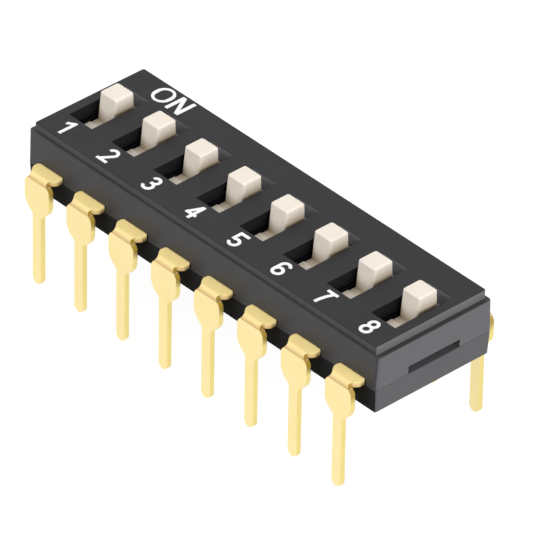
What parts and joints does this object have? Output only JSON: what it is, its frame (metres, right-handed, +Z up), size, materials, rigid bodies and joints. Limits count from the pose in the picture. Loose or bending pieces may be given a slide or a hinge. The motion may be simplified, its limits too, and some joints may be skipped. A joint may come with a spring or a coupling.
{
  "type": "dip switch",
  "caption": "Slide-type dual in-line package switch with raised ivory knobs in a black two-part case and two rows of gold leads for a circuit board.",
  "frame": {"origin": "middle of the flat underside of the base", "axes": "+X along the row from switch 1 to switch 8, +Y from the numbered side towards the ON side, +Z up out of the board"},
  "size_m": [0.0206, 0.0076, 0.0074],
  "materials": {
    "cover_plastic": "fine moulded satin",
    "base_plastic": "fine moulded satin",
    "white_ink": "flat print",
    "ivory_plastic": "smooth satin",
    "contact_spring": "rolled and gold plated",
    "gold_plate": "gold plated, satin"
  },
  "bodies": {
    "case": {"cover": "cover_plastic", "base": "base_plastic", "legend": "white_ink", "terminal_front_1": "gold_plate", "terminal_front_2": "gold_plate", "terminal_front_3": "gold_plate", "terminal_front_4": "gold_plate", "terminal_front_5": "gold_plate", "terminal_front_6": "gold_plate", "terminal_front_7": "gold_plate", "terminal_front_8": "gold_plate", "terminal_back_1": "gold_plate", "terminal_back_2": "gold_plate", "terminal_back_3": "gold_plate", "terminal_back_4": "gold_plate", "terminal_back_5": "gold_plate", "terminal_back_6": "gold_plate", "terminal_back_7": "gold_plate", "terminal_back_8": "gold_plate"},
    "switch_1": {"slider_1": "ivory_plastic", "contact_1": "contact_spring"},
    "switch_2": {"slider_2": "ivory_plastic", "contact_2": "contact_spring"},
    "switch_3": {"slider_3": "ivory_plastic", "contact_3": "contact_spring"},
    "switch_4": {"slider_4": "ivory_plastic", "contact_4": "contact_spring"},
    "switch_5": {"slider_5": "ivory_plastic", "contact_5": "contact_spring"},
    "switch_6": {"slider_6": "ivory_plastic", "contact_6": "contact_spring"},
    "switch_7": {"slider_7": "ivory_plastic", "contact_7": "contact_spring"},
    "switch_8": {"slider_8": "ivory_plastic", "contact_8": "contact_spring"}
  },
  "joints": [
    {"name": "slide_1", "type": "slide", "parent": "case", "child": "switch_1", "axis": [0, 1, 0], "range_m": [-0.0009, 0]},
    {"name": "slide_2", "type": "slide", "parent": "case", "child": "switch_2", "axis": [0, 1, 0], "range_m": [-0.0009, 0]},
    {"name": "slide_3", "type": "slide", "parent": "case", "child": "switch_3", "axis": [0, 1, 0], "range_m": [-0.0009, 0]},
    {"name": "slide_4", "type": "slide", "parent": "case", "child": "switch_4", "axis": [0, 1, 0], "range_m": [-0.0009, 0]},
    {"name": "slide_5", "type": "slide", "parent": "case", "child": "switch_5", "axis": [0, 1, 0], "range_m": [-0.0009, 0]},
    {"name": "slide_6", "type": "slide", "parent": "case", "child": "switch_6", "axis": [0, 1, 0], "range_m": [-0.0009, 0]},
    {"name": "slide_7", "type": "slide", "parent": "case", "child": "switch_7", "axis": [0, 1, 0], "range_m": [-0.0009, 0]},
    {"name": "slide_8", "type": "slide", "parent": "case", "child": "switch_8", "axis": [0, 1, 0], "range_m": [-0.0009, 0]}
  ]
}
